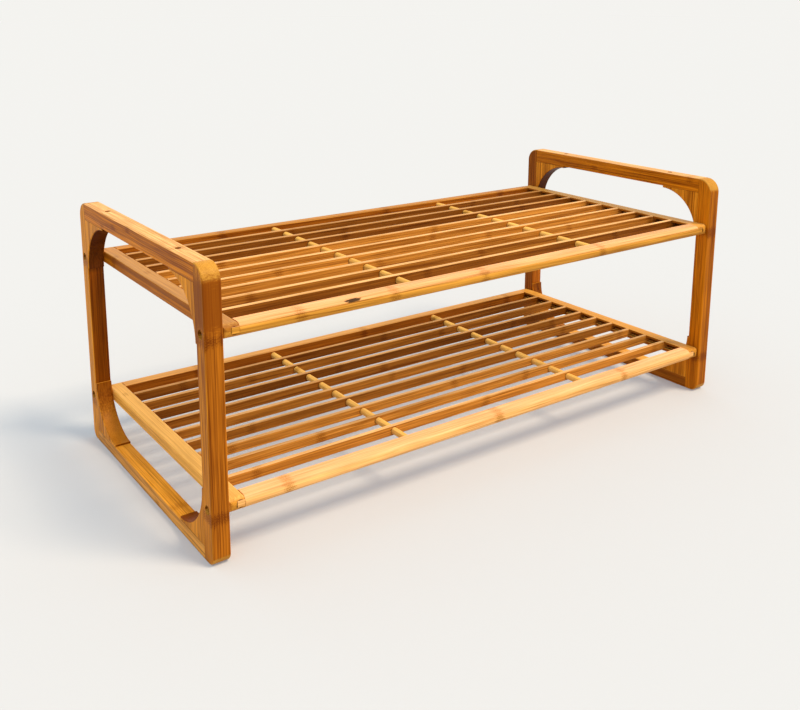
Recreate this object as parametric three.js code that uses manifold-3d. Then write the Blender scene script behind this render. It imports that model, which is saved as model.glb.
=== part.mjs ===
// Two-tier slatted bamboo bench rack, in millimetres, +Z up.
// X runs along the bench, Y from front (-) to back (+), and the origin is on the floor under its centre.
// Two side frames carry two slatted shelves, which are held by screws through the posts.
import * as THREE from "three";
import { mergeVertices } from "three/addons/utils/BufferGeometryUtils.js";
import Module from "manifold-3d";

const wasm = await Module();
wasm.setup();

// ---------------------------------------------------------------- driving dimensions
const LENGTH = 750; // over the outer faces of the side frames
const DEPTH = 350; // over the posts, front to back
const HEIGHT = 300;
const FIT_GAP = 0.3; // between pieces that touch, as glue line or clearance

// Side frames
const FRAME_THICKNESS = 19; // along X
const POST_WIDTH = 19; // along Y
const TOP_RAIL_HEIGHT = 19;
const BOTTOM_RAIL_HEIGHT = 15.5;
const TOP_CORNER_RADIUS = 18;
const BOTTOM_CORNER_RADIUS = 11;
const FRAME_EDGE_RADIUS = 1.5;
const GUSSET_LEG = 60; // along the rail and along the post
const GUSSET_LIP = 2.5; // thickness left at each tip of the gusset
const FRAME_TENON = { length: 8, thickness: 9, height: 8 };
const STACKING_SOCKET = { radius: 3.25, depth: 9, fromCentre: 100 }; // loose pegs join two benches here

// Shelves
const SHELF_DEPTH = 348; // over the rounded noses
const SHELF_THICKNESS = 14;
const END_RAIL_WIDTH = 17;
const LONG_RAIL_WIDTH = 18;
const NOSE_RADIUS = SHELF_THICKNESS / 2;
const END_RAIL_CORNER_RADIUS = 5.5; // of its outer vertical corners
const SHELF_EDGE_RADIUS = 1.2;
const JOINT_DEPTH = 6.5; // of the grooves, dowels and screws below the shelf's top
const GROOVE = { height: 7, depth: 8.5 }; // in the inner face of each end rail
const TONGUE_LENGTH = 8;
const TONGUE_SET_BACK = 0.7; // of a long rail's tongue behind the shelf's edge
const SLAT_COUNT = 9;
const SLAT_THICKNESS = 4.8;
const SLAT_HEIGHT = 12;
const SLAT_EDGE_RADIUS = 0.8;
const DOWEL_RADIUS = 4;
const DOWEL_END_DEPTH = 10; // in the front and back rails
const SHELVES = [
  { name: "upper", top: 240, dowels: { left: -124.5, right: 154 } },
  { name: "lower", top: 64, dowels: { left: -130, right: 147 } },
];

// Shelf screws
const SCREW_HEAD = { radius: 4.2, height: 3.5 };
const SCREW_HEX = { radius: 2.3, depth: 2.2 };
const SCREW_SHANK_RADIUS = 2.25;
const SCREW_INTO_SHELF = 14; // through the end rail and into the long rail's tongue
const COUNTERBORE = { radius: 4.8, depth: 10 };

// ---------------------------------------------------------------- derived places
const FRAME_OUTER_X = LENGTH / 2;
const FRAME_INNER_X = FRAME_OUTER_X - FRAME_THICKNESS;
const POST_INNER_Y = DEPTH / 2 - POST_WIDTH;
const POST_CENTRE_Y = DEPTH / 2 - POST_WIDTH / 2;
const TOP_RAIL_UNDERSIDE = HEIGHT - TOP_RAIL_HEIGHT;
const GUSSET_TIP_Y = POST_INNER_Y - GUSSET_LEG;
const GUSSET_ARC_RADIUS = GUSSET_LEG - GUSSET_LIP;
const END_RAIL_OUTER_X = FRAME_INNER_X - FIT_GAP;
const END_RAIL_INNER_X = END_RAIL_OUTER_X - END_RAIL_WIDTH;
const LONG_RAIL_INNER_Y = SHELF_DEPTH / 2 - LONG_RAIL_WIDTH;
const NOSE_Y = SHELF_DEPTH / 2 - NOSE_RADIUS; // centre of the round nose

// ---------------------------------------------------------------- materials
const bambooLight = new THREE.MeshStandardMaterial({ color: 0xdba65c, roughness: 0.45, metalness: 0 });
const bambooMid = new THREE.MeshStandardMaterial({ color: 0xb9772f, roughness: 0.5, metalness: 0 });
const bambooDowel = new THREE.MeshStandardMaterial({ color: 0xe6b968, roughness: 0.45, metalness: 0 });
const darkSteel = new THREE.MeshStandardMaterial({ color: 0x3a3836, roughness: 0.4, metalness: 1 });

// ---------------------------------------------------------------- solids and booleans
function solidFrom(geometry) {
  const bare = geometry.index ? geometry.toNonIndexed() : geometry.clone();
  bare.deleteAttribute("normal");
  bare.deleteAttribute("uv");
  const merged = mergeVertices(bare, 1e-4);
  return new wasm.Manifold(
    new wasm.Mesh({
      numProp: 3,
      vertProperties: merged.attributes.position.array,
      triVerts: new Uint32Array(merged.index.array),
    }),
  );
}

function meshFrom(solid, name, material) {
  const { vertProperties, triVerts } = solid.getMesh();
  const geometry = new THREE.BufferGeometry();
  geometry.setAttribute("position", new THREE.BufferAttribute(new Float32Array(vertProperties), 3));
  geometry.setIndex(new THREE.BufferAttribute(new Uint32Array(triVerts), 1));
  geometry.computeVertexNormals();
  const mesh = new THREE.Mesh(geometry, material);
  mesh.name = name;
  return mesh;
}

function sorted(a, b) {
  return a < b ? [a, b] : [b, a];
}

// A box between two corners, given as ranges whose ends may come in either order.
function box(xRange, yRange, zRange) {
  const [[x0, x1], [y0, y1], [z0, z1]] = [sorted(...xRange), sorted(...yRange), sorted(...zRange)];
  const geometry = new THREE.BoxGeometry(x1 - x0, y1 - y0, z1 - z0);
  geometry.translate((x0 + x1) / 2, (y0 + y1) / 2, (z0 + z1) / 2);
  return solidFrom(geometry);
}

function cylinderAlongX(radius, xRange, y, z, sides = 16) {
  const [x0, x1] = sorted(...xRange);
  const geometry = new THREE.CylinderGeometry(radius, radius, x1 - x0, sides);
  geometry.rotateZ(Math.PI / 2);
  geometry.translate((x0 + x1) / 2, y, z);
  return solidFrom(geometry);
}

function cylinderAlongY(radius, x, yRange, z, sides = 24) {
  const [y0, y1] = sorted(...yRange);
  const geometry = new THREE.CylinderGeometry(radius, radius, y1 - y0, sides);
  geometry.translate(x, (y0 + y1) / 2, z);
  return solidFrom(geometry);
}

function cylinderAlongZ(radius, x, y, zRange, sides = 16) {
  const [z0, z1] = sorted(...zRange);
  const geometry = new THREE.CylinderGeometry(radius, radius, z1 - z0, sides);
  geometry.rotateX(Math.PI / 2);
  geometry.translate(x, y, (z0 + z1) / 2);
  return solidFrom(geometry);
}

// Extrudes an outline drawn in the (Y, Z) plane along X, centred on xCentre, with edges of edgeRadius.
function extrudeAlongX(shape, length, xCentre, edgeRadius = 0) {
  const geometry = new THREE.ExtrudeGeometry(shape, {
    depth: length - 2 * edgeRadius,
    bevelEnabled: edgeRadius > 0,
    bevelThickness: edgeRadius,
    bevelSize: edgeRadius,
    bevelOffset: -edgeRadius,
    bevelSegments: 3,
    curveSegments: 12,
  });
  geometry.translate(0, 0, edgeRadius - length / 2);
  const yAxis = new THREE.Vector3(0, 1, 0);
  const zAxis = new THREE.Vector3(0, 0, 1);
  const xAxis = new THREE.Vector3(1, 0, 0);
  geometry.applyMatrix4(new THREE.Matrix4().makeBasis(yAxis, zAxis, xAxis));
  geometry.translate(xCentre, 0, 0);
  return solidFrom(geometry);
}

// ---------------------------------------------------------------- side frames
// The frame's outline with its opening. The opening's corners are the gussets' concave arcs, and each arc
// ends in a small lip where the gusset stands proud of the rail or post.
function frameOutline() {
  const halfDepth = DEPTH / 2;
  const bottomY = halfDepth - BOTTOM_CORNER_RADIUS;
  const topY = halfDepth - TOP_CORNER_RADIUS;
  const topZ = HEIGHT - TOP_CORNER_RADIUS;
  const shape = new THREE.Shape();
  shape.moveTo(-bottomY, 0);
  shape.lineTo(bottomY, 0);
  shape.absarc(bottomY, BOTTOM_CORNER_RADIUS, BOTTOM_CORNER_RADIUS, -Math.PI / 2, 0);
  shape.lineTo(halfDepth, topZ);
  shape.absarc(topY, topZ, TOP_CORNER_RADIUS, 0, Math.PI / 2);
  shape.lineTo(-topY, HEIGHT);
  shape.absarc(-topY, topZ, TOP_CORNER_RADIUS, Math.PI / 2, Math.PI);
  shape.lineTo(-halfDepth, BOTTOM_CORNER_RADIUS);
  shape.absarc(-bottomY, BOTTOM_CORNER_RADIUS, BOTTOM_CORNER_RADIUS, Math.PI, 1.5 * Math.PI);

  const lowerArcZ = BOTTOM_RAIL_HEIGHT + GUSSET_LEG;
  const upperArcZ = TOP_RAIL_UNDERSIDE - GUSSET_LEG;
  const opening = new THREE.Path();
  opening.moveTo(-GUSSET_TIP_Y, BOTTOM_RAIL_HEIGHT);
  opening.lineTo(GUSSET_TIP_Y, BOTTOM_RAIL_HEIGHT);
  opening.absarc(GUSSET_TIP_Y, lowerArcZ, GUSSET_ARC_RADIUS, -Math.PI / 2, 0);
  opening.lineTo(POST_INNER_Y, lowerArcZ);
  opening.lineTo(POST_INNER_Y, upperArcZ);
  opening.absarc(GUSSET_TIP_Y, upperArcZ, GUSSET_ARC_RADIUS, 0, Math.PI / 2);
  opening.lineTo(GUSSET_TIP_Y, TOP_RAIL_UNDERSIDE);
  opening.lineTo(-GUSSET_TIP_Y, TOP_RAIL_UNDERSIDE);
  opening.absarc(-GUSSET_TIP_Y, upperArcZ, GUSSET_ARC_RADIUS, Math.PI / 2, Math.PI);
  opening.lineTo(-POST_INNER_Y, upperArcZ);
  opening.lineTo(-POST_INNER_Y, lowerArcZ);
  opening.absarc(-GUSSET_TIP_Y, lowerArcZ, GUSSET_ARC_RADIUS, Math.PI, 1.5 * Math.PI);
  shape.holes.push(opening);
  return shape;
}

// A frame tenon (grown by clearance, its mortise) from the post's inner face into the post.
function frameTenon(xCentre, ySign, zCentre, clearance = 0) {
  const halfThickness = FRAME_TENON.thickness / 2 + clearance;
  const halfHeight = FRAME_TENON.height / 2 + clearance;
  const rootY = POST_INNER_Y - 1;
  return box(
    [xCentre - halfThickness, xCentre + halfThickness],
    [ySign * rootY, ySign * (POST_INNER_Y + FRAME_TENON.length + clearance)],
    [zCentre - halfHeight, zCentre + halfHeight],
  );
}

// A screw's hole through a post and into the shelf, counterbored for its head.
function screwHole(xSign, ySign, shelf) {
  const y = ySign * POST_CENTRE_Y;
  const z = shelf.top - JOINT_DEPTH;
  const outsideX = xSign * (FRAME_OUTER_X + 1);
  const endX = xSign * (FRAME_INNER_X - SCREW_INTO_SHELF - FIT_GAP);
  const seatX = xSign * (FRAME_OUTER_X - COUNTERBORE.depth);
  const clearance = cylinderAlongX(SCREW_SHANK_RADIUS + FIT_GAP, [endX, outsideX], y, z);
  return clearance.add(cylinderAlongX(COUNTERBORE.radius, [seatX, outsideX], y, z, 24));
}

// The frame is glued up, routed round its edges and then drilled, so its pieces are cut from one blank.
function sideFrame(sideName, xSign) {
  const group = new THREE.Group();
  const xCentre = xSign * (FRAME_OUTER_X - FRAME_THICKNESS / 2);
  const blank = extrudeAlongX(frameOutline(), FRAME_THICKNESS, xCentre, FRAME_EDGE_RADIUS);
  const allX = [xCentre - FRAME_THICKNESS, xCentre + FRAME_THICKNESS];
  const below = -1;
  const above = HEIGHT + 1;
  const topTenonZ = TOP_RAIL_UNDERSIDE + TOP_RAIL_HEIGHT / 2;
  const bottomTenonZ = BOTTOM_RAIL_HEIGHT / 2;
  const railEndY = POST_INNER_Y - FIT_GAP;
  const ends = [
    ["front", -1],
    ["rear", 1],
  ];

  for (const [endName, ySign] of ends) {
    let post = blank.intersect(box(allX, [ySign * POST_INNER_Y, ySign * DEPTH], [below, above]));
    for (const z of [topTenonZ, bottomTenonZ]) {
      post = post.subtract(frameTenon(xCentre, ySign, z, FIT_GAP));
    }
    for (const shelf of SHELVES) {
      post = post.subtract(screwHole(xSign, ySign, shelf));
    }
    group.add(meshFrom(post, `${sideName}_${endName}_post`, bambooMid));

    const gussets = [
      ["upper", TOP_RAIL_UNDERSIDE - FIT_GAP, TOP_RAIL_UNDERSIDE - GUSSET_LEG - 1],
      ["lower", BOTTOM_RAIL_HEIGHT + FIT_GAP, BOTTOM_RAIL_HEIGHT + GUSSET_LEG + 1],
    ];
    for (const [levelName, railSideZ, tipZ] of gussets) {
      const region = box(allX, [ySign * railEndY, ySign * (GUSSET_TIP_Y - 1)], [railSideZ, tipZ]);
      group.add(meshFrom(blank.intersect(region), `${sideName}_${endName}_${levelName}_gusset`, bambooMid));
    }
  }

  const rails = [
    ["top_rail", TOP_RAIL_UNDERSIDE, above, topTenonZ, HEIGHT, -1],
    ["bottom_rail", below, BOTTOM_RAIL_HEIGHT, bottomTenonZ, 0, 1],
  ];
  for (const [railName, fromZ, toZ, tenonZ, faceZ, inwards] of rails) {
    let rail = blank.intersect(box(allX, [-railEndY, railEndY], [fromZ, toZ]));
    for (const [, ySign] of ends) {
      rail = rail.add(frameTenon(xCentre, ySign, tenonZ));
      const socketZ = [faceZ - inwards, faceZ + inwards * STACKING_SOCKET.depth];
      const socketY = ySign * STACKING_SOCKET.fromCentre;
      rail = rail.subtract(cylinderAlongZ(STACKING_SOCKET.radius, xCentre, socketY, socketZ, 24));
    }
    group.add(meshFrom(rail, `${sideName}_${railName}`, bambooMid));
  }
  return group;
}

// ---------------------------------------------------------------- shelves
// A long rail's section: square inner edge, full round nose along its outer edge.
function longRailSection(ySign, bottomZ) {
  const innerY = ySign * LONG_RAIL_INNER_Y;
  const noseY = ySign * NOSE_Y;
  const topZ = bottomZ + SHELF_THICKNESS;
  const shape = new THREE.Shape();
  shape.moveTo(innerY, bottomZ + SHELF_EDGE_RADIUS);
  shape.lineTo(innerY + ySign * SHELF_EDGE_RADIUS, bottomZ);
  shape.lineTo(noseY, bottomZ);
  shape.absarc(noseY, bottomZ + NOSE_RADIUS, NOSE_RADIUS, -Math.PI / 2, Math.PI / 2, ySign < 0);
  shape.lineTo(innerY + ySign * SHELF_EDGE_RADIUS, topZ);
  shape.lineTo(innerY, topZ - SHELF_EDGE_RADIUS);
  return shape;
}

function longRail(ySign, shelf) {
  const bottomZ = shelf.top - SHELF_THICKNESS;
  const jointZ = shelf.top - JOINT_DEPTH;
  const bodyHalf = END_RAIL_INNER_X - FIT_GAP;
  const tongueHalf = END_RAIL_INNER_X + TONGUE_LENGTH;
  const tongueHalfHeight = GROOVE.height / 2 - FIT_GAP;
  const tongue = box(
    [-tongueHalf, tongueHalf],
    [ySign * (LONG_RAIL_INNER_Y + SHELF_EDGE_RADIUS), ySign * (SHELF_DEPTH / 2 - TONGUE_SET_BACK)],
    [jointZ - tongueHalfHeight, jointZ + tongueHalfHeight],
  );
  let rail = extrudeAlongX(longRailSection(ySign, bottomZ), 2 * bodyHalf, 0).add(tongue);
  for (const xSign of [-1, 1]) {
    rail = rail.subtract(screwHole(xSign, ySign, shelf));
  }
  for (const x of Object.values(shelf.dowels)) {
    const holeEndY = LONG_RAIL_INNER_Y + DOWEL_END_DEPTH + FIT_GAP;
    const holeY = [ySign * (LONG_RAIL_INNER_Y - 1), ySign * holeEndY];
    rail = rail.subtract(cylinderAlongY(DOWEL_RADIUS + FIT_GAP, x, holeY, jointZ));
  }
  return rail;
}

// The whole shelf's section across its depth, with the nose at the front and at the back.
function shelfSection(bottomZ) {
  const noseZ = bottomZ + NOSE_RADIUS;
  const shape = new THREE.Shape();
  shape.moveTo(-NOSE_Y, bottomZ);
  shape.lineTo(NOSE_Y, bottomZ);
  shape.absarc(NOSE_Y, noseZ, NOSE_RADIUS, -Math.PI / 2, Math.PI / 2);
  shape.lineTo(-NOSE_Y, bottomZ + SHELF_THICKNESS);
  shape.absarc(-NOSE_Y, noseZ, NOSE_RADIUS, Math.PI / 2, 1.5 * Math.PI);
  return shape;
}

// An end rail seen from above has round outer corners. Its ends carry on the long rails' noses, its edges
// are eased and its inner face is grooved.
function endRail(xSign, shelf) {
  const radius = END_RAIL_CORNER_RADIUS;
  const halfWidth = END_RAIL_WIDTH / 2;
  const halfDepth = SHELF_DEPTH / 2;
  const plan = new THREE.Shape();
  plan.moveTo(-halfWidth, -halfDepth);
  plan.lineTo(halfWidth - radius, -halfDepth);
  plan.absarc(halfWidth - radius, -halfDepth + radius, radius, -Math.PI / 2, 0);
  plan.lineTo(halfWidth, halfDepth - radius);
  plan.absarc(halfWidth - radius, halfDepth - radius, radius, 0, Math.PI / 2);
  plan.lineTo(-halfWidth, halfDepth);
  const geometry = new THREE.ExtrudeGeometry(plan, {
    depth: SHELF_THICKNESS - 2 * SHELF_EDGE_RADIUS,
    bevelThickness: SHELF_EDGE_RADIUS,
    bevelSize: SHELF_EDGE_RADIUS,
    bevelOffset: -SHELF_EDGE_RADIUS,
    bevelSegments: 2,
    curveSegments: 8,
  });
  const xCentre = xSign * (END_RAIL_OUTER_X - halfWidth);
  if (xSign < 0) {
    geometry.rotateZ(Math.PI);
  }
  const bottomZ = shelf.top - SHELF_THICKNESS;
  geometry.translate(xCentre, 0, bottomZ + SHELF_EDGE_RADIUS);

  const jointZ = shelf.top - JOINT_DEPTH;
  const noses = extrudeAlongX(shelfSection(bottomZ), END_RAIL_WIDTH + 2, xCentre);
  const groove = box(
    [xSign * (END_RAIL_INNER_X - 1), xSign * (END_RAIL_INNER_X + GROOVE.depth)],
    [-DEPTH, DEPTH],
    [jointZ - GROOVE.height / 2, jointZ + GROOVE.height / 2],
  );
  let rail = solidFrom(geometry).intersect(noses).subtract(groove);
  for (const ySign of [-1, 1]) {
    rail = rail.subtract(screwHole(xSign, ySign, shelf));
  }
  return rail;
}

function slatSection(y, topZ) {
  const half = SLAT_THICKNESS / 2;
  const bottomZ = topZ - SLAT_HEIGHT;
  const r = SLAT_EDGE_RADIUS;
  const shape = new THREE.Shape();
  shape.moveTo(y - half + r, bottomZ);
  shape.lineTo(y + half - r, bottomZ);
  shape.lineTo(y + half, bottomZ + r);
  shape.lineTo(y + half, topZ - r);
  shape.lineTo(y + half - r, topZ);
  shape.lineTo(y - half + r, topZ);
  shape.lineTo(y - half, topZ - r);
  shape.lineTo(y - half, bottomZ + r);
  return shape;
}

function slat(y, shelf) {
  const jointZ = shelf.top - JOINT_DEPTH;
  const bodyHalf = END_RAIL_INNER_X - FIT_GAP;
  const tenonHalf = END_RAIL_INNER_X + TONGUE_LENGTH;
  const tenonHalfHeight = GROOVE.height / 2 - FIT_GAP;
  const tenon = box(
    [-tenonHalf, tenonHalf],
    [y - SLAT_THICKNESS / 2 + FIT_GAP, y + SLAT_THICKNESS / 2 - FIT_GAP],
    [jointZ - tenonHalfHeight, jointZ + tenonHalfHeight],
  );
  let body = extrudeAlongX(slatSection(y, shelf.top), 2 * bodyHalf, 0).add(tenon);
  for (const x of Object.values(shelf.dowels)) {
    const holeY = [y - SLAT_THICKNESS, y + SLAT_THICKNESS];
    body = body.subtract(cylinderAlongY(DOWEL_RADIUS + FIT_GAP, x, holeY, jointZ));
  }
  return body;
}

function buildShelf(shelf) {
  const group = new THREE.Group();
  const prefix = `${shelf.name}_shelf`;
  const jointZ = shelf.top - JOINT_DEPTH;
  group.add(meshFrom(longRail(-1, shelf), `${prefix}_front_rail`, bambooLight));
  group.add(meshFrom(longRail(1, shelf), `${prefix}_back_rail`, bambooLight));
  group.add(meshFrom(endRail(-1, shelf), `${prefix}_left_end_rail`, bambooLight));
  group.add(meshFrom(endRail(1, shelf), `${prefix}_right_end_rail`, bambooLight));

  const space = (2 * LONG_RAIL_INNER_Y - SLAT_COUNT * SLAT_THICKNESS) / (SLAT_COUNT + 1);
  const pitch = space + SLAT_THICKNESS;
  for (let i = 1; i <= SLAT_COUNT; i += 1) {
    const y = -LONG_RAIL_INNER_Y - SLAT_THICKNESS / 2 + i * pitch;
    group.add(meshFrom(slat(y, shelf), `${prefix}_slat_${i}`, bambooLight));
  }

  const dowelEndY = LONG_RAIL_INNER_Y + DOWEL_END_DEPTH;
  for (const [sideName, x] of Object.entries(shelf.dowels)) {
    const dowel = cylinderAlongY(DOWEL_RADIUS, x, [-dowelEndY, dowelEndY], jointZ);
    group.add(meshFrom(dowel, `${prefix}_${sideName}_dowel`, bambooDowel));
  }
  return group;
}

// ---------------------------------------------------------------- screws
function shelfScrew(xSign, ySign, shelf) {
  const y = ySign * POST_CENTRE_Y;
  const z = shelf.top - JOINT_DEPTH;
  const seatX = FRAME_OUTER_X - COUNTERBORE.depth + FIT_GAP;
  const headX = seatX + SCREW_HEAD.height;
  const tipX = FRAME_INNER_X - SCREW_INTO_SHELF;
  const head = cylinderAlongX(SCREW_HEAD.radius, [xSign * seatX, xSign * headX], y, z, 24);
  const shank = cylinderAlongX(SCREW_SHANK_RADIUS, [xSign * tipX, xSign * (seatX + 1)], y, z);
  const hexX = [xSign * (headX - SCREW_HEX.depth), xSign * (headX + 1)];
  const hexSocket = cylinderAlongX(SCREW_HEX.radius, hexX, y, z, 6);
  return head.add(shank).subtract(hexSocket);
}

function buildScrews() {
  const group = new THREE.Group();
  for (const [sideName, xSign] of [["left", -1], ["right", 1]]) {
    for (const [endName, ySign] of [["front", -1], ["rear", 1]]) {
      for (const shelf of SHELVES) {
        const screw = shelfScrew(xSign, ySign, shelf);
        group.add(meshFrom(screw, `${sideName}_${endName}_${shelf.name}_screw`, darkSteel));
      }
    }
  }
  return group;
}

// ---------------------------------------------------------------- the whole bench
const bench = new THREE.Group();
bench.add(sideFrame("left", -1));
bench.add(sideFrame("right", 1));
for (const shelf of SHELVES) {
  bench.add(buildShelf(shelf));
}
bench.add(buildScrews());

export default bench;
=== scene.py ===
"""Looks for the two-tier slatted bamboo bench rack: lacquered laminated bamboo on a plain pale floor."""
import math

import bmesh
import bpy
from mathutils import Matrix, Vector


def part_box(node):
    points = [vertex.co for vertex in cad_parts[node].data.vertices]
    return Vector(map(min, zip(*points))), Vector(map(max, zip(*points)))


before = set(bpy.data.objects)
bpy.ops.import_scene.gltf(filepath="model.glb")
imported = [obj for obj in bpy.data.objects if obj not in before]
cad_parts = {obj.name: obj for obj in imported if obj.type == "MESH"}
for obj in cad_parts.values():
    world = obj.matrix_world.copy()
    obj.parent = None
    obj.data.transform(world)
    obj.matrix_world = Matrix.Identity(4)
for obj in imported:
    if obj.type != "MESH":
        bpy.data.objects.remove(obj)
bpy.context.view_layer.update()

X, Y, Z = 0, 1, 2

# ---------------------------------------------------------------- camera
CAMERA_PLACE = Vector((-0.7043, -0.9311, 0.5298))
CAMERA_YAW = math.radians(35.33)  # from +Y towards +X
CAMERA_PITCH = math.radians(-11.72)
CAMERA_ROLL = math.radians(0.09)
CAMERA_LENS = 42.22  # on a 36 mm wide sensor
CAMERA_SHIFT = (0.0120, -0.1950)

SHARP_ANGLE = math.radians(32)  # edges steeper than this stay crisp

# ---------------------------------------------------------------- light
FLOOR_REACH = 30.0
FLOOR_COLOUR = (0.520, 0.499, 0.481, 1.0)
BACKDROP_COLOUR = (0.905, 0.897, 0.866, 1.0)  # what the camera sees behind the floor
FILL_COLOUR = (0.77, 0.90, 1.03)
FILL_STRENGTH = 0.95
KEY_COLOUR = (1.0, 0.862, 0.660)
KEY_DIRECTION = Vector((-0.36, 0.54, -1.0))  # the way the light travels
KEY_STRENGTH = 2.69
SUN_ANGLE = math.radians(20)
TOP_COLOUR = (0.88, 0.98, 1.06)
TOP_DIRECTION = Vector((0.0, 0.0, -1.0))
TOP_STRENGTH = 1.04  # this one casts no shadows

# ---------------------------------------------------------------- tones, linear
PALE_TONE = (0.80, 0.37, 0.095)
HONEY_TONE = (0.62, 0.24, 0.022)
ORANGE_TONE = (0.66, 0.205, 0.008)
BROWN_TONE = (0.35, 0.085, 0.003)
DEEP_TONE = (0.21, 0.044, 0.001)
# The posts' rounded ends: the cut fibres' own tone, made lighter as painted light where they face up
CORNER_TONE = (0.59, 0.250, 0.028)
# Dark tone for the burn mark, and for painted shade in the end rails' grooves and round the dowels
BURN_AND_SHADE_TONE = (0.025, 0.008, 0.002)
DOWEL_TONE = (0.78, 0.38, 0.065)
UPPER_BAND_TONE = (0.20, 0.045, 0.003)
HOLE_SHADE_TONE = (0.10, 0.030, 0.005)
DARK_STEEL_TONE = (0.05, 0.047, 0.045)
WORN_STEEL_TONE = (0.14, 0.13, 0.125)
SLAT_TONE = (0.50, 0.164, 0.015)
SLAT_TOP_TONE = (0.80, 0.40, 0.120)

# (front and back faces, left and right faces); painted light and shade set these per face and per post,
# darkest on the rear posts
POST_TONES = {
    "left_front_post": ((0.36, 0.092, 0.003), (0.62, 0.188, 0.008)),
    "left_rear_post": (DEEP_TONE, ORANGE_TONE),
    "right_front_post": ((0.43, 0.112, 0.002), (0.49, 0.125, 0.002)),
    "right_rear_post": (BROWN_TONE, BROWN_TONE),
}
# (faces that look up, front and back faces, left and right faces), here and in the rail tables below; painted
# light and shade set these per face and per piece: lighter on lit faces, darker on shaded ones such as the
# hollow gussets and back rails
GUSSET_TONES = {
    "front_upper": (DEEP_TONE, DEEP_TONE, ORANGE_TONE),
    "front_lower": (DEEP_TONE, DEEP_TONE, ORANGE_TONE),
    "rear_upper": ((0.10, 0.020, 0.001), (0.10, 0.020, 0.001), ORANGE_TONE),
    "rear_lower": ((0.47, 0.150, 0.008), (0.25, 0.060, 0.002), ORANGE_TONE),
}
FRAME_RAIL_TONES = {
    "left_top_rail": (PALE_TONE, BROWN_TONE, (0.58, 0.155, 0.004)),
    "left_bottom_rail": ((0.76, 0.272, 0.018), BROWN_TONE, (0.68, 0.25, 0.028)),
    "right_top_rail": (PALE_TONE, BROWN_TONE, (0.53, 0.138, 0.002)),
    "right_bottom_rail": (HONEY_TONE, BROWN_TONE, (0.30, 0.075, 0.003)),
}
END_RAIL_TONES = {
    "upper_shelf_left_end_rail": ((0.52, 0.225, 0.045), HONEY_TONE, (0.52, 0.140, 0.004)),
    "upper_shelf_right_end_rail": ((0.62, 0.26, 0.040), HONEY_TONE, BROWN_TONE),
    "lower_shelf_left_end_rail": ((0.74, 0.35, 0.065), HONEY_TONE, (1.00, 0.43, 0.060)),
    "lower_shelf_right_end_rail": ((0.60, 0.24, 0.030), HONEY_TONE, BROWN_TONE),
}
LONG_RAIL_TONES = {
    "upper_shelf_front_rail": ((0.76, 0.32, 0.095), (0.55, 0.210, 0.018), HONEY_TONE),
    "lower_shelf_front_rail": ((0.86, 0.385, 0.125), (0.90, 0.42, 0.100), HONEY_TONE),
    "upper_shelf_back_rail": ((0.48, 0.180, 0.022), BROWN_TONE, HONEY_TONE),
    "lower_shelf_back_rail": ((0.66, 0.28, 0.055), BROWN_TONE, HONEY_TONE),
}
# From the front slat to the rear one: each slat's own tone together with painted shade from the slats in
# front and the shelf above
SLAT_GAINS_WITH_SHADE = {
    "upper": (0.50, 0.88, 1.15, 1.25, 1.08, 1.32, 0.45, 0.45, 0.48),
    "lower": (1.12, 1.32, 1.20, 0.66, 0.82, 0.75, 0.36, 0.76, 0.52),
}
# The slats' tops, darker at the rear and on the lower shelf: each slat's own tone together with painted shade
SLAT_TOP_GAINS_WITH_SHADE = {
    "upper": (1.0, 1.0, 1.0, 1.0, 1.0, 1.0, 0.70, 0.60, 0.60),
    "lower": (0.90, 0.75, 0.75, 0.70, 0.70, 0.70, 0.65, 0.65, 0.65),
}
STRIP_THICKNESS = 0.0062  # of the glued strips in the bars
WIDE_STRIP = 0.03  # for pieces cut from one strip
DOWEL_STRIP = 0.02

# Noise frequencies along and across the fibres, per metre
BROAD_STREAKS = (3.5, 150.0)
MIDDLE_STREAKS = (7.0, 520.0)
FINE_STREAKS = (16.0, 1150.0)
PATCHES = (13.0, 45.0)
NODE_WOBBLE = (30.0, 420.0)

# Where the cane's nodes are along the grain, and how they look
NODE_SPACING = 0.31
NODE_STAIN_REACH = (0.0085, 0.0012)  # gone at the first distance and full at the second
NODE_LINE_SPACING = 0.0013
POST_NODES = (0.050, 0.228)
RAIL_NODES = {
    "upper_shelf_front_rail": (-0.273, -0.160, -0.037, 0.152),
    "lower_shelf_front_rail": (-0.290, -0.010, 0.205),
    "upper_shelf_back_rail": (-0.200, 0.060, 0.280),
    "lower_shelf_back_rail": (-0.240, 0.020, 0.300),
}
# The burn mark on the upper front rail
BURN_PLACE = (-0.212, -0.1725, 0.2385)
BURN_REACH = (0.011, 0.0040, 0.0024)
# The darker upper part of the left front post: place, reach, tone and strength
UPPER_POST_SHADE = ((0.0, 0.0, 0.262), (None, None, 0.030), (0.22, 0.046, 0.001), 0.75)


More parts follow.
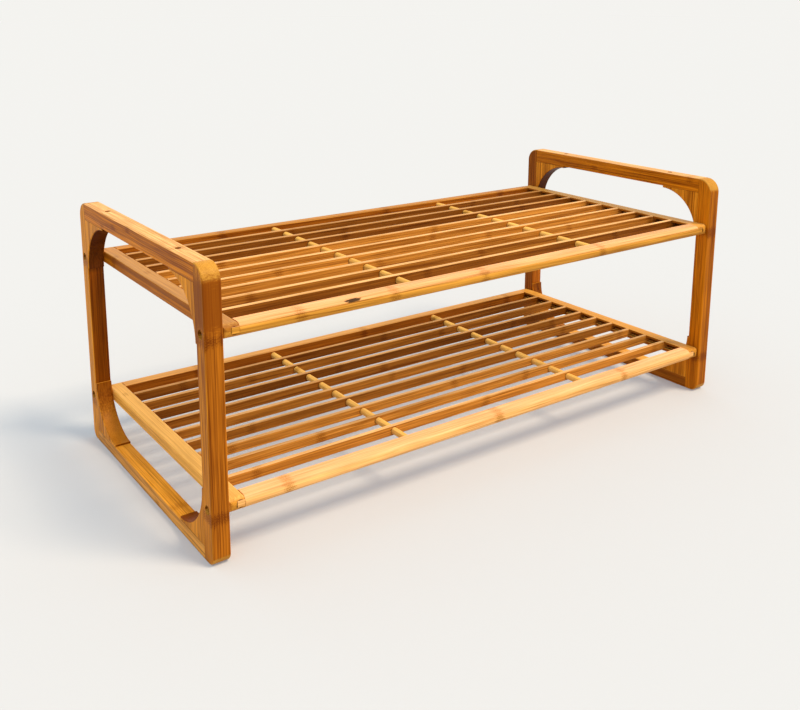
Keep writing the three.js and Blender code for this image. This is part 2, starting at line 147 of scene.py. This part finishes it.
# ---------------------------------------------------------------- node tree helpers
class Tree:
    """A thin wrapper that makes shader nodes and links them by value."""

    def __init__(self, material):
        self.nodes = material.node_tree.nodes
        self.links = material.node_tree.links

    def node(self, kind, inputs=None, **settings):
        made = self.nodes.new(kind)
        for name, value in settings.items():
            setattr(made, name, value)
        for name, value in (inputs or {}).items():
            self.feed(made.inputs[name], value)
        return made

    def feed(self, socket, value):
        if isinstance(value, bpy.types.NodeSocket):
            self.links.new(value, socket)
        else:
            socket.default_value = value

    def maths(self, operation, a, b=0.0, c=0.0, clamp=False):
        made = self.node("ShaderNodeMath", {0: a, 1: b, 2: c}, operation=operation, use_clamp=clamp)
        return made.outputs[0]

    def mix(self, factor, a, b):
        """Colour a at factor 0 and colour b at factor 1."""
        made = self.node("ShaderNodeMix", data_type="RGBA")
        self.feed(made.inputs[0], factor)
        self.feed(made.inputs[6], a)
        self.feed(made.inputs[7], b)
        return made.outputs[2]

    def ramp(self, value, low, high):
        """0 at low and 1 at high, smoothly."""
        made = self.node(
            "ShaderNodeMapRange",
            {"Value": value, "From Min": low, "From Max": high},
            interpolation_type="SMOOTHSTEP",
        )
        return made.outputs["Result"]

    def combine(self, x, y, z):
        return self.node("ShaderNodeCombineXYZ", {"X": x, "Y": y, "Z": z}).outputs[0]

    def noise(self, vector, scale=1.0, detail=3.0):
        made = self.node(
            "ShaderNodeTexNoise",
            {"Vector": vector, "Scale": scale, "Detail": detail, "Roughness": 0.55},
        )
        return made.outputs["Fac"]


def rgba(tone, gain=1.0):
    return (tone[0] * gain, tone[1] * gain, tone[2] * gain, 1.0)


def random_unit(seed, step=0.0):
    """A repeatable number from 0 to 1."""
    value = math.sin(seed * 12.9898 + step * 78.233) * 43758.5453
    return value - math.floor(value)


# ---------------------------------------------------------------- bamboo
def tinted(tone, strength):
    """The tone made darker (negative strength) or lighter: bamboo turns red-brown in the dark streaks."""
    red, green, blue = tone
    if strength < 0:
        return (red * (1 + 0.56 * strength), green * (1 + 0.66 * strength), blue * (1 + 0.85 * strength), 1.0)
    return (red * (1 + 0.38 * strength), green * (1 + 0.56 * strength), blue * (1 + 1.20 * strength), 1.0)


def grain_vector(tree, along, across, depth, along_scale, across_scale):
    return tree.combine(
        tree.maths("MULTIPLY", along, along_scale),
        tree.maths("MULTIPLY", across, across_scale),
        tree.maths("MULTIPLY", depth, across_scale),
    )


def add_scaled(tree, total, value, weight):
    """total + weight * (value - 0.5), where value is a noise around 0.5."""
    return tree.maths("MULTIPLY_ADD", tree.maths("SUBTRACT", value, 0.5), weight, total)


def distance_to_node(tree, along, phase):
    """Signed distance to the nearest of the cane's regularly spaced nodes."""
    turns = tree.maths("ADD", tree.maths("DIVIDE", along, NODE_SPACING), phase)
    return tree.maths("MULTIPLY", tree.maths("SUBTRACT", tree.maths("FRACT", turns), 0.5), NODE_SPACING)


def distance_to_places(tree, position, places):
    """Distance to the nearest of some given places along the grain."""
    nearest = 1.0
    for place in places:
        away = tree.maths("ABSOLUTE", tree.maths("SUBTRACT", position, place))
        nearest = tree.maths("MINIMUM", nearest, away)
    return nearest


def bamboo(name, grain, stack, seed, up, front, side, end=HONEY_TONE, contrast=1.0,
           strip=STRIP_THICKNESS, node_places=None, node_strength=1.0, end_start=0.55, marks=()):
    """Laminated bamboo. grain and stack are axis indices: along the fibres, and across the glued strips.

    up, front and side are the tones of the faces that look up, along Y and along X, partly the strips' own
    cut faces and partly painted light and shade: lighter where light falls, darker on shaded sides. A face
    that looks down has the front tone. end is the tone of the cut fibres, which show where the face leans
    towards the grain by more than end_start. strip is the strips' thickness, node_places, if given, says
    where along the grain the nodes of the cane are, and contrast and node_strength weaken or strengthen the
    pattern.
    marks are functions that take the tree, the split coordinates and the colour, and return a new colour.
    """
    material = bpy.data.materials.new(name)
    material.use_nodes = True
    tree = Tree(material)
    shader = tree.nodes["Principled BSDF"]
    other = 3 - grain - stack

    coordinates = tree.node("ShaderNodeTexCoord")
    split = tree.node("ShaderNodeSeparateXYZ", {0: coordinates.outputs["Object"]}).outputs
    normal = tree.node("ShaderNodeSeparateXYZ", {0: coordinates.outputs["Normal"]}).outputs
    along = tree.maths("ADD", split[grain], 1.0 + 3.0 * random_unit(seed, 1))
    drift = tree.noise(tree.node("ShaderNodeVectorMath", {
        0: coordinates.outputs["Object"],
        1: (11.0, 17.0 + 2.0 * random_unit(seed, 2), 13.0),
    }, operation="MULTIPLY").outputs[0], detail=1.0)
    across = tree.maths("ADD", split[stack], 1.0 + 0.7 * random_unit(seed, 3))
    across_wavy = add_scaled(tree, across, drift, 0.0022)
    depth = tree.maths("ADD", split[other], 1.0 + 0.7 * random_unit(seed, 4))

    # Each strip has its own tone and its own place for the nodes of its cane.
    strip_number = tree.maths("FLOOR", tree.maths("DIVIDE", across, strip))
    strip_random = tree.node("ShaderNodeTexWhiteNoise", {"W": strip_number}, noise_dimensions="1D")
    strip_colour = tree.node("ShaderNodeSeparateColor", {0: strip_random.outputs["Color"]}).outputs

    # Fibres run along the grain, so the noises are stretched that way.
    broad = tree.noise(grain_vector(tree, along, across_wavy, depth, *BROAD_STREAKS), detail=2.0)
    middle = tree.noise(grain_vector(tree, along, across_wavy, depth, *MIDDLE_STREAKS), detail=2.0)
    fine = tree.noise(grain_vector(tree, along, across_wavy, depth, *FINE_STREAKS), detail=2.0)
    patchy = tree.noise(grain_vector(tree, along, across, depth, *PATCHES), detail=2.0)

    # A node of the cane crosses the strip as a band of small wavy lines in a darker patch.
    wobble = tree.noise(grain_vector(tree, along, across, depth, *NODE_WOBBLE), detail=2.0)
    if node_places:
        from_node = distance_to_places(tree, split[grain], node_places)
    else:
        from_node = distance_to_node(tree, along, strip_colour[1])
    distance = tree.maths("ABSOLUTE", add_scaled(tree, from_node, wobble, 0.018))
    stain = tree.maths("MULTIPLY", tree.ramp(distance, *NODE_STAIN_REACH), node_strength)
    line = tree.maths("PINGPONG", distance, NODE_LINE_SPACING)
    line = tree.maths("MULTIPLY", tree.ramp(line, 0.0008, 0.0002), stain)

    value = 0.5
    for part, weight in ((broad, 0.55), (middle, 1.5), (fine, 1.5), (patchy, 0.45), (strip_colour[0], 0.35)):
        value = add_scaled(tree, value, part, weight * contrast)
    value = tree.maths("SUBTRACT", value, tree.maths("MULTIPLY", stain, 0.28))
    value = tree.maths("SUBTRACT", value, tree.maths("MULTIPLY", line, 0.45), clamp=True)

    # Painted light and shade: faces that look up take the up tone, the others the front or side tone.
    sideward = tree.ramp(tree.maths("ABSOLUTE", normal[X]), 0.45, 0.85)
    upward = tree.ramp(normal[Z], 0.25, 0.80)
    endward = tree.ramp(tree.maths("ABSOLUTE", normal[grain]), end_start, end_start + 0.25)
    dark = tree.mix(upward, tree.mix(sideward, tinted(front, -1), tinted(side, -1)), tinted(up, -0.70))
    light = tree.mix(upward, tree.mix(sideward, tinted(front, 1), tinted(side, 1)), tinted(up, 0.70))
    colour = tree.mix(value, dark, light)

    # Cut fibres: a fine speckle of pores.
    pores = tree.node("ShaderNodeTexVoronoi", {"Vector": coordinates.outputs["Object"], "Scale": 1100.0})
    speckle = tree.maths("MULTIPLY", tree.ramp(pores.outputs["Distance"], 0.15, 0.6), 0.5)
    speckle = add_scaled(tree, speckle, patchy, 1.2)
    colour = tree.mix(endward, colour, tree.mix(speckle, tinted(end, -0.6), tinted(end, 0.5)))
    for mark in marks:
        colour = mark(tree, split, colour)

    height = tree.maths("MULTIPLY_ADD", fine, 0.7, tree.maths("MULTIPLY", line, 0.8))
    bump = tree.node("ShaderNodeBump", {"Strength": 0.20, "Distance": 0.0004, "Height": height})
    tree.feed(shader.inputs["Base Color"], colour)
    tree.feed(shader.inputs["Roughness"], tree.maths("MULTIPLY_ADD", middle, 0.30, 0.26))
    tree.feed(shader.inputs["Normal"], bump.outputs["Normal"])
    shader.inputs["Specular IOR Level"].default_value = 0.04
    shader.inputs["Coat Weight"].default_value = 0.015
    shader.inputs["Coat Roughness"].default_value = 0.25
    return material


def dark_spot(place, reach, tone, strength):
    """A soft-edged dark patch of oval section, endless along any axis whose reach is None, for stains and for
    painted shade.
    """
    def mark(tree, split, colour):
        total = 0.0
        for axis in range(3):
            if reach[axis] is None:
                continue
            offset = tree.maths("DIVIDE", tree.maths("SUBTRACT", split[axis], place[axis]), reach[axis])
            total = tree.maths("MULTIPLY_ADD", offset, offset, total)
        ragged = tree.noise(tree.combine(
            tree.maths("MULTIPLY", split[X], 260.0),
            tree.maths("MULTIPLY", split[Y], 900.0),
            tree.maths("MULTIPLY", split[Z], 900.0),
        ))
        edge = add_scaled(tree, total, ragged, 1.6)
        inside = tree.maths("SUBTRACT", 1.0, tree.ramp(edge, 0.35, 1.1))
        return tree.mix(tree.maths("MULTIPLY", inside, strength), colour, rgba(tone))
    return mark


def dark_steel(name):
    """Blackened steel with a light brushed variation."""
    material = bpy.data.materials.new(name)
    material.use_nodes = True
    tree = Tree(material)
    shader = tree.nodes["Principled BSDF"]
    coordinates = tree.node("ShaderNodeTexCoord")
    cloud = tree.noise(coordinates.outputs["Object"], scale=900.0, detail=3.0)
    tree.feed(shader.inputs["Base Color"], tree.mix(cloud, rgba(DARK_STEEL_TONE), rgba(WORN_STEEL_TONE)))
    tree.feed(shader.inputs["Roughness"], tree.maths("MULTIPLY_ADD", cloud, 0.25, 0.32))
    bump = tree.node("ShaderNodeBump", {"Strength": 0.15, "Distance": 0.0002, "Height": cloud})
    tree.feed(shader.inputs["Normal"], bump.outputs["Normal"])
    shader.inputs["Metallic"].default_value = 1.0
    return material


# ---------------------------------------------------------------- the CAD nodes
def shaded(tone, gain):
    """A slat's tone scaled by a gain that holds its own tone and painted shade: the darker it is, the redder.
    """
    red, green, blue = tone
    return (red * gain, green * gain ** 1.25, blue * gain ** 1.7)


def dowel_marks(shelf):
    """Painted shade in the gaps round the dowels where they pass through the slats of one shelf."""
    marks = []
    for side in ("left", "right"):
        low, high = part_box(f"{shelf}_shelf_{side}_dowel")
        centre = [(low[axis] + high[axis]) / 2 for axis in range(3)]
        radius = (high[X] - low[X]) / 2
        place = (centre[X] - 0.15 * radius, centre[Y], centre[Z] + 0.1 * radius)
        marks.append(dark_spot(place, (1.22 * radius, None, 1.22 * radius), BURN_AND_SHADE_TONE, 0.8))
    return marks


def groove_mark(name):
    """The deep shade in the groove along an end rail's inner face."""
    low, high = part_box(name)
    inwards = 1 if high[X] < 0 else -1
    inner = high[X] if inwards > 0 else low[X]
    half = (high[Z] - low[Z]) / 2
    place = (inner - inwards * 0.72 * half, 0.0, low[Z] + 1.07 * half)
    return dark_spot(place, (0.68 * half, None, 0.66 * half), BURN_AND_SHADE_TONE, 0.97)


def dark_upper_band_mark(name):
    """Darker towards the top of an end rail's outer face."""
    low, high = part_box(name)
    thickness = high[Z] - low[Z]
    place = (0.0, 0.0, high[Z] - 0.26 * thickness)
    return dark_spot(place, (None, None, 0.23 * thickness), UPPER_BAND_TONE, 0.55)


def screw_hole_marks(name):
    """Painted shade inside a post's two screw holes."""
    marks = []
    for shelf in ("upper", "lower"):
        low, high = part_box(name.replace("post", f"{shelf}_screw"))
        centre = [(low[axis] + high[axis]) / 2 for axis in range(3)]
        reach = 0.62 * (high[Z] - low[Z])
        marks.append(dark_spot(centre, (None, reach, reach), HOLE_SHADE_TONE, 0.9))
    return marks


def material_for(name, seed):
    shelf = name.split("_")[0]
    if name.endswith("screw"):
        return dark_steel(f"{name}_steel")
    title = f"{name}_bamboo"
    if name.endswith("dowel"):
        return bamboo(title, Y, X, seed, DOWEL_TONE, DOWEL_TONE, DOWEL_TONE, strip=DOWEL_STRIP, contrast=0.5)
    if name.endswith("post"):
        marks = screw_hole_marks(name)
        if name == "left_front_post":
            marks.append(dark_spot(*UPPER_POST_SHADE))
        return bamboo(title, Z, X, seed, CORNER_TONE, *POST_TONES[name], end=CORNER_TONE, end_start=0.08,
                      contrast=1.2, node_places=POST_NODES, marks=marks)
    if name.endswith("gusset"):
        tones = GUSSET_TONES["_".join(name.split("_")[1:3])]
        return bamboo(title, Z, Y, seed, *tones, end=tones[0], node_strength=0.4)
    if name.endswith("top_rail") or name.endswith("bottom_rail"):
        return bamboo(title, Y, Z, seed, *FRAME_RAIL_TONES[name], end=BROWN_TONE, contrast=1.15,
                      node_strength=0.6)
    if name.endswith("end_rail"):
        marks = [groove_mark(name)]
        if name == "upper_shelf_left_end_rail":
            marks.append(dark_upper_band_mark(name))
        return bamboo(title, Y, X, seed, *END_RAIL_TONES[name], end=HONEY_TONE, contrast=0.6,
                      node_strength=0.5, marks=marks)
    if "slat" in name:
        number = int(name.split("_")[-1])
        top_tone = shaded(SLAT_TOP_TONE, SLAT_TOP_GAINS_WITH_SHADE[shelf][number - 1])
        face_tone = shaded(SLAT_TONE, SLAT_GAINS_WITH_SHADE[shelf][number - 1])
        return bamboo(title, X, Y, seed, top_tone, face_tone, face_tone, strip=WIDE_STRIP, contrast=0.9,
                      node_strength=0.5, marks=dowel_marks(shelf))
    marks = []
    if name == "upper_shelf_front_rail":
        marks.append(dark_spot(BURN_PLACE, BURN_REACH, BURN_AND_SHADE_TONE, 0.95))
    contrast = {"upper": 0.95, "lower": 0.65}[shelf]
    return bamboo(title, X, Y, seed, *LONG_RAIL_TONES[name], strip=WIDE_STRIP, contrast=contrast,
                  node_strength=0.7, node_places=RAIL_NODES[name], marks=marks)


def paint(node, material):
    """Gives a CAD node its material, and smooth shading except across real corners."""
    mesh = node.data
    mesh.materials.clear()
    mesh.materials.append(material)
    mesh.shade_smooth()
    mesh.set_sharp_from_angle(angle=SHARP_ANGLE)


for seed, (name, node) in enumerate(sorted(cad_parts.items()), start=1):
    paint(node, material_for(name, seed))


# ---------------------------------------------------------------- floor
def make_floor():
    mesh = bpy.data.meshes.new("floor")
    build = bmesh.new()
    corners = [(-1, -1), (1, -1), (1, 1), (-1, 1)]
    build.faces.new([build.verts.new((x * FLOOR_REACH, y * FLOOR_REACH, 0.0)) for x, y in corners])
    build.to_mesh(mesh)
    build.free()
    floor = bpy.data.objects.new("floor", mesh)
    bpy.context.scene.collection.objects.link(floor)
    material = bpy.data.materials.new("floor_paper")
    material.use_nodes = True
    shader = material.node_tree.nodes["Principled BSDF"]
    shader.inputs["Base Color"].default_value = FLOOR_COLOUR
    shader.inputs["Roughness"].default_value = 0.9
    shader.inputs["Specular IOR Level"].default_value = 0.0
    mesh.materials.append(material)


# ---------------------------------------------------------------- light and camera
def make_sun(name, direction, strength, colour, shadows=True):
    light = bpy.data.lights.new(name, "SUN")
    light.energy = strength
    light.color = colour
    light.use_shadow = shadows
    light.angle = SUN_ANGLE
    lamp = bpy.data.objects.new(name, light)
    lamp.rotation_euler = direction.to_track_quat("-Z", "Y").to_euler()
    bpy.context.scene.collection.objects.link(lamp)


def make_world():
    world = bpy.data.worlds.new("studio")
    world.use_nodes = True
    tree = Tree(world)
    background = tree.nodes["Background"]
    seen = tree.node("ShaderNodeLightPath").outputs["Is Camera Ray"]
    tree.feed(background.inputs["Color"], tree.mix(seen, rgba(FILL_COLOUR, FILL_STRENGTH), BACKDROP_COLOUR))
    bpy.context.scene.world = world


def make_camera():
    forward = Vector((
        math.sin(CAMERA_YAW) * math.cos(CAMERA_PITCH),
        math.cos(CAMERA_YAW) * math.cos(CAMERA_PITCH),
        math.sin(CAMERA_PITCH),
    ))
    level = Vector((math.cos(CAMERA_YAW), -math.sin(CAMERA_YAW), 0.0))
    upright = level.cross(forward)
    right = level * math.cos(CAMERA_ROLL) + upright * math.sin(CAMERA_ROLL)
    up = upright * math.cos(CAMERA_ROLL) - level * math.sin(CAMERA_ROLL)
    data = bpy.data.cameras.new("camera")
    data.sensor_width = 36.0
    data.lens = CAMERA_LENS
    data.shift_x, data.shift_y = CAMERA_SHIFT
    camera = bpy.data.objects.new("camera", data)
    turn = Matrix((right, up, -forward)).transposed()
    camera.matrix_world = Matrix.Translation(CAMERA_PLACE) @ turn.to_4x4()
    bpy.context.scene.collection.objects.link(camera)
    bpy.context.scene.camera = camera


make_floor()
make_sun("key_sun", KEY_DIRECTION, KEY_STRENGTH, KEY_COLOUR)
make_sun("top_sun", TOP_DIRECTION, TOP_STRENGTH, TOP_COLOUR, shadows=False)
make_world()
make_camera()
bpy.context.scene.view_settings.view_transform = "Standard"
